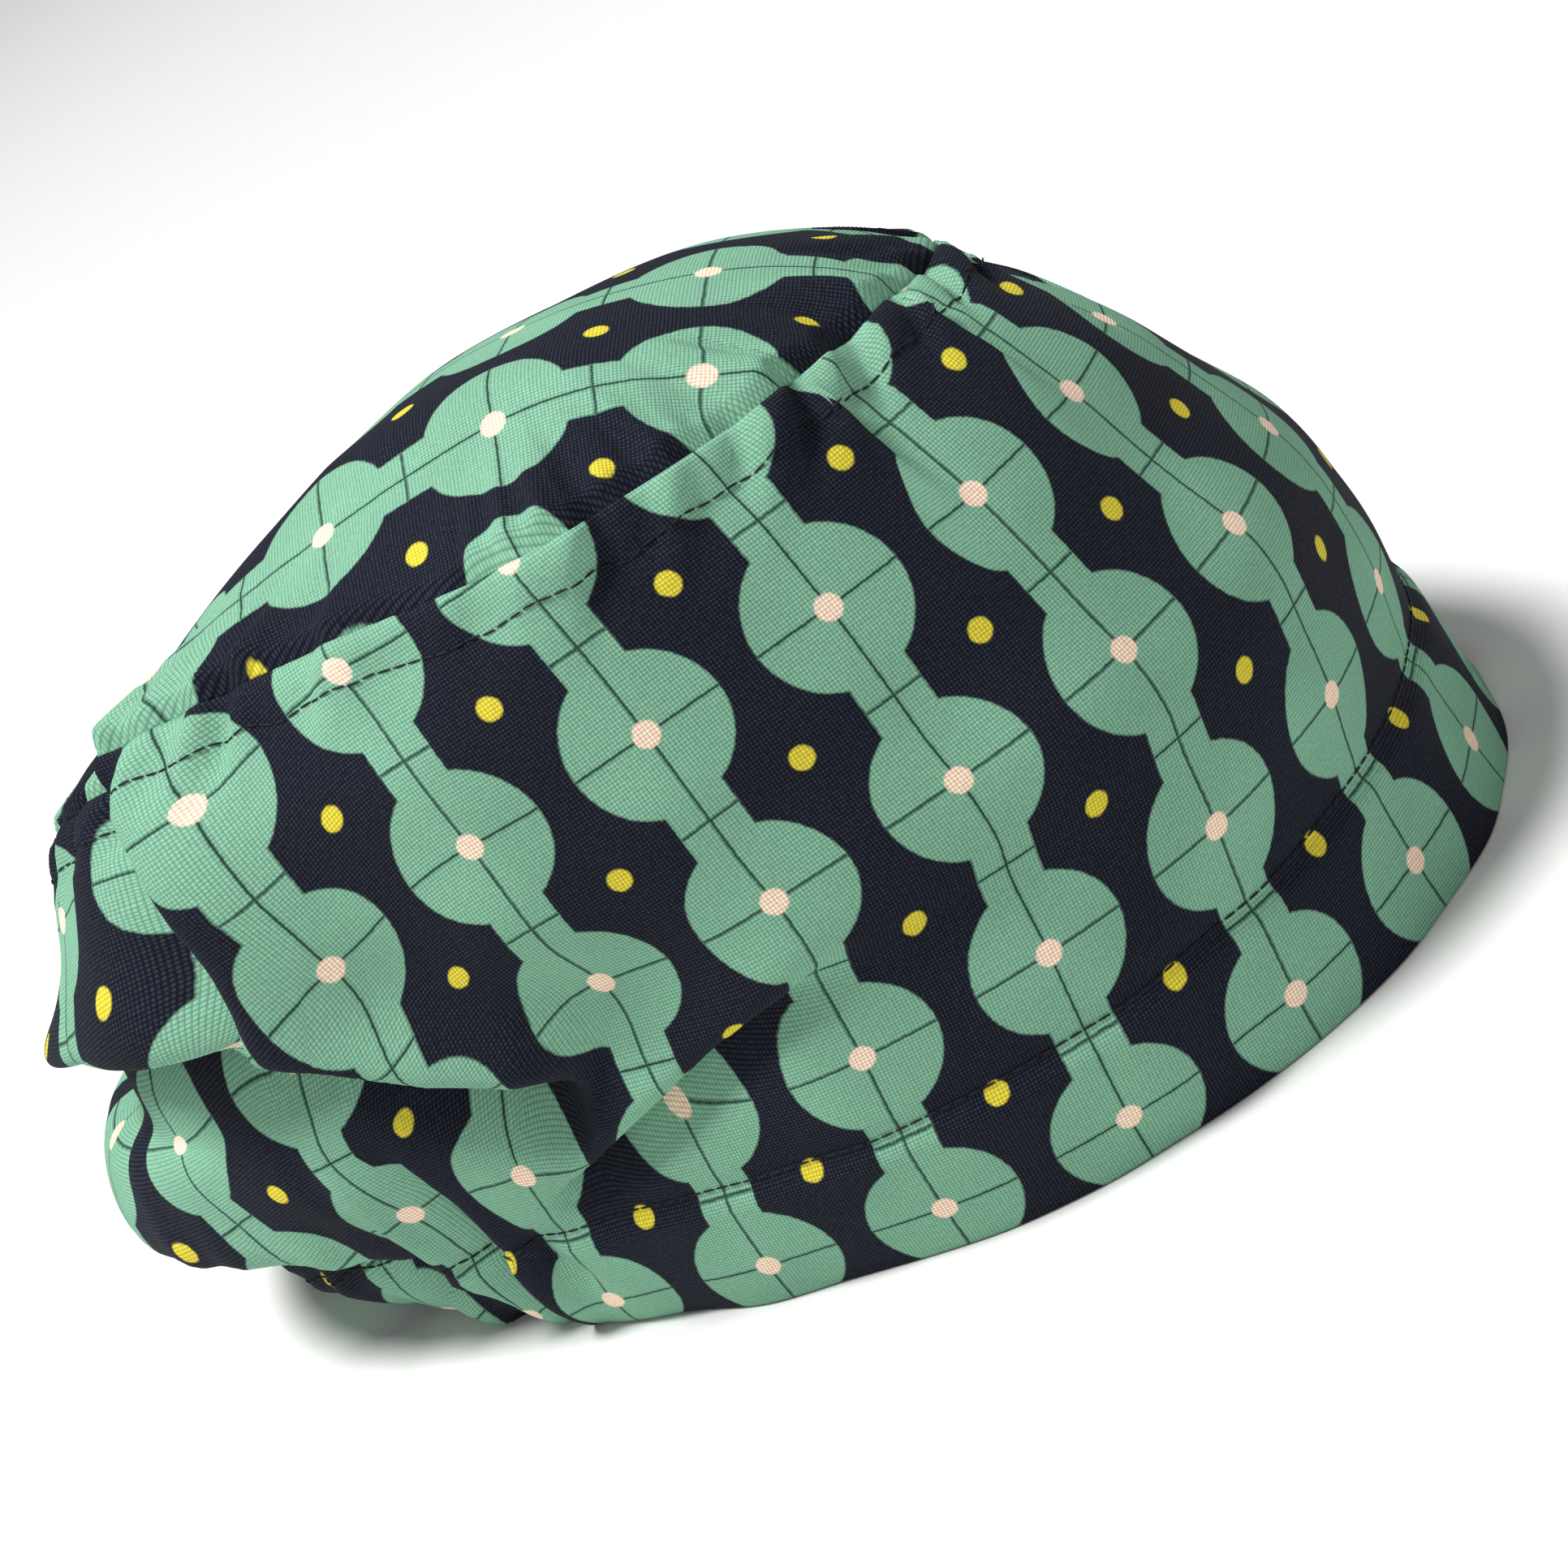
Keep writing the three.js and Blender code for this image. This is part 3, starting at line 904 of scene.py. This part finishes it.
def crown_smooth(turn, rim):
    """The crown at a turn from the front and a share of the way from its top to the seam."""
    seam = wall_point(turn, np.ones_like(turn))
    seam[..., 2] += CROWN_RISE
    ends = np.where(np.cos(turn) > 0, CROWN_FALL["front"], CROWN_FALL["back"])
    sides = np.where(np.sin(turn) > 0, CROWN_FALL["left"], CROWN_FALL["right"])
    power = ends * np.cos(turn) ** 2 + sides * np.sin(turn) ** 2
    power = 2 + (power - 2) * ease(rim / 0.5)
    point = CROWN_TOP + (seam - CROWN_TOP) * rim[..., None]
    point[..., 2] = CROWN_TOP[2] + (seam[..., 2] - CROWN_TOP[2]) * rim ** power
    return point


def crown_lengths(turns):
    """True lengths from the crown's top out to even shares of the way to the seam."""
    shares = np.linspace(0, 1, SPOKE_STEPS + 1)
    line = crown_smooth(*np.meshgrid(turns, shares, indexing="ij"))
    steps_out = np.linalg.norm(np.diff(line, axis=1), axis=2)
    return np.concatenate([np.zeros((len(turns), 1)), np.cumsum(steps_out, axis=1)], axis=1)


def lay_crown():
    """The crown's grid of points, with each one's turn, flat place and distance to the rim."""
    side = np.linspace(-1, 1, CROWN_GRID + 1)
    square_x, square_y = np.meshgrid(side, side)
    disc_x = square_x * np.sqrt(1 - square_y ** 2 / 2)
    disc_y = square_y * np.sqrt(1 - square_x ** 2 / 2)
    rim = np.clip(np.hypot(disc_x, disc_y), 0, 1)
    turn = np.arctan2(disc_x, -disc_y)
    points = crown_smooth(turn, rim)
    turns = np.linspace(-math.pi, math.pi, SPOKES + 1)
    lengths = crown_lengths(turns)
    fine = (turn + math.pi) / (2 * math.pi) * SPOKES
    low = np.minimum(fine.astype(int), SPOKES - 1)
    place = rim * SPOKE_STEPS
    step = np.minimum(place.astype(int), SPOKE_STEPS - 1)
    length = np.zeros_like(rim)
    for column, across in ((0, 1 - (fine - low)), (1, fine - low)):
        for row, out in ((0, 1 - (place - step)), (1, place - step)):
            length += across * out * lengths[low + column, step + row]
    plan = points[..., :2] - CROWN_TOP[:2]
    plan /= np.linalg.norm(plan, axis=-1, keepdims=True) + 1e-9
    flat = plan * length[..., None] + CROWN_TOP[:2]
    edge = np.interp(turn, turns, lengths[:, -1])
    return points, turn, flat, edge - length


crown_points, crown_turn, crown_flat, from_rim = lay_crown()
print("crown panel in mm:", np.ptp(crown_flat[..., 0]).round(0), "by", np.ptp(crown_flat[..., 1]).round(0))

# %% [markdown]
# The panel is soft, so it has a low ridge that runs back over the middle, slow undulations,
# and puckers along its rim like the ones on the band. Its rim follows wherever the folds took
# the band's edge, and rolls down into the seam.

# %% Fold the crown
# name: (how far out, width, path of (across, along, strength))
CROWN_RIDGES = {
    "long ridge": (2.4, 9, ((-62, -96, 0), (-58, -60, 1), (-60, -24, 1), (-74, 14, 0))),
    "left slope": (-1.2, 14, ((-20, -90, 0), (-22, -50, 1), (-26, 0, 0.6), (-40, 40, 0))),
}
CROWN_SWELL = 0.7
CROWN_RIM_PUCKER = 1.5
RIM_RADIUS_MM = 80.0       # about, to count puckers round the rim
SEAM_FOLLOW_MM = 16.0      # how far into the crown the band's folds are felt
SEAM_UNDER = 0.6           # the crown's rim ends this far below the band's edge
SEAM_POINTS = 1201


def band_edge_moves(turn):
    """How far the folds moved the band's top edge, at turns from the front."""
    turns = np.linspace(-math.pi, math.pi, SEAM_POINTS)
    seam = wall_point(turns, np.ones_like(turns))
    gaps = np.linalg.norm(band_smooth[-1][:, None] - seam[None], axis=2)
    column_turns = turns[np.argmin(gaps, axis=1)]
    moves = band_points[-1] - band_smooth[-1]
    return np.stack([np.interp(turn, column_turns, moves[:, axis]) for axis in range(3)], axis=-1)


def fold_crown():
    flat_x, flat_y = crown_flat[..., 0], crown_flat[..., 1]
    out = CROWN_SWELL * soft_noise(flat_x, flat_y, (30, 34), 31)
    for height, width, path in CROWN_RIDGES.values():
        signed, _, strength = to_path(path, flat_x, flat_y)
        out += height * strength * hump(signed, width)
    around = crown_turn * RIM_RADIUS_MM
    out += CROWN_RIM_PUCKER * soft_noise(around, from_rim, (4.5, 18), 13) * hump(from_rim - 3, 8)
    out *= ease(from_rim / 3)
    normal = surface_frame(crown_points)[2]
    folded = crown_points + out[..., None] * normal
    folded += hump(from_rim, SEAM_FOLLOW_MM)[..., None] * band_edge_moves(crown_turn)
    folded[..., 2] -= hump(from_rim, SEAM_ROLL_MM) * (CROWN_RISE + SEAM_UNDER)
    return folded


crown_folded = fold_crown()
print("crown's highest point in mm:", crown_folded[..., 2].max().round(1))

# %% [markdown]
# The panel was cut with its rows of discs running nearly from front to back. One disc's place
# and the rows' turn fix the whole print on it.

# %% Print the crown
CROWN_DISC = np.array([-66.0, -57.0])      # a disc of the print lies here
CROWN_GRAIN = math.radians(11.3)           # the rows turn this far from front and back


def crown_places():
    """The crown's cloth in repeats, turned to its own grain."""
    away = crown_flat - CROWN_DISC
    across = away @ np.array([math.cos(CROWN_GRAIN), math.sin(CROWN_GRAIN)])
    along = away @ np.array([-math.sin(CROWN_GRAIN), math.cos(CROWN_GRAIN)])
    return np.stack([across, along], axis=-1) / REPEAT_MM


crown_piece = lay_cloth("printed_crown", crown_folded, crown_places(), CLOTH_MM,
                        cotton_face, cotton_reverse)

# %% [markdown]
# ## Stitches
# Two rows of machine stitches show: one round the band just below the crown seam, which
# holds the seam's allowance down, and one that holds the hem. Each stitch is a short thread
# that dips into the cloth at both ends, so a stretched ball is enough, laid along the line
# and half sunk in the cloth.

# %% Stitches
STITCH_PITCH = 2.5
STITCH_LENGTH = 2.4
STITCH_THICK = 0.38
STITCH_OUT = 0.1           # how far its middle stands above the cloth
WANDER_MM = 0.5            # a hand-guided line is not quite straight


def line_on_band(heights):
    """A line round the band at one true height for each column, with its outward normals."""
    normal = surface_frame(band_points)[2]
    place = np.zeros((band_points.shape[1], 3))
    out = np.zeros_like(place)
    for column, height in enumerate(heights):
        for axis in range(3):
            up = band_true_up[:, column]
            place[column, axis] = np.interp(height, up, band_points[:, column, axis])
            out[column, axis] = np.interp(height, up, normal[:, column, axis])
    return place, out


def sew_line(name, heights):
    """A piece of thread stitches along the band, at a height for each of its columns."""
    line, out = line_on_band(heights)
    along = np.concatenate([[0], np.cumsum(np.linalg.norm(np.diff(line, axis=0), axis=1))])
    count = int(along[-1] / STITCH_PITCH)
    bm = bmesh.new()
    for number in range(count):
        middle = (number + 0.5) * along[-1] / count
        ends = [middle - STITCH_LENGTH / 2, middle, middle + STITCH_LENGTH / 2]
        start, centre, end = (np.array([np.interp(at, along, line[:, axis]) for axis in range(3)])
                              for at in ends)
        normal = Vector([np.interp(middle, along, out[:, axis]) for axis in range(3)]).normalized()
        way = Vector(end - start).normalized()
        side = normal.cross(way).normalized()
        turn = Matrix((way, side, way.cross(side))).transposed().to_4x4()
        size = Matrix.Diagonal((STITCH_LENGTH / 2, STITCH_THICK / 2, STITCH_THICK / 2, 1))
        place = Matrix.Translation(Vector(centre + SHIFT) + STITCH_OUT * normal)
        bmesh.ops.create_uvsphere(bm, u_segments=8, v_segments=5, radius=1,
                                  matrix=Matrix.Scale(MM, 4) @ place @ turn @ size)
    for face in bm.faces:
        face.smooth = True
    mesh = bpy.data.meshes.new(name)
    bm.to_mesh(mesh)
    bm.free()
    mesh.materials.append(thread)
    stitches = bpy.data.objects.new(name, mesh)
    bpy.context.collection.objects.link(stitches)
    print(name, "stitches:", count, "length in mm:", round(along[-1]))
    return stitches


seam_wander = WANDER_MM * soft_noise(band_round[0], np.zeros_like(band_round[0]), (6, 10), 41)
top_stitches = sew_line("crown_topstitch", band_true_up[-1] - TOP_STITCH_MM + seam_wander)
hem_stitches = sew_line("hem_stitch", np.full(band_true_up.shape[1], HEM_STITCH_MM))

# %% [markdown]
# ## What each piece is
# The cap has no joints, so every piece rides on its one body. The three cloth pieces stand
# for the imported walls, which are hidden.

# %% Bodies and hidden parts
for piece in (band_piece, crown_piece, facing_piece, top_stitches, hem_stitches):
    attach(piece, "root")
for piece, node, finish in ((band_piece, "side_band", "band_cotton"),
                            (crown_piece, "crown", "crown_cotton"),
                            (facing_piece, "hem_facing", "facing_cotton")):
    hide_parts(node)
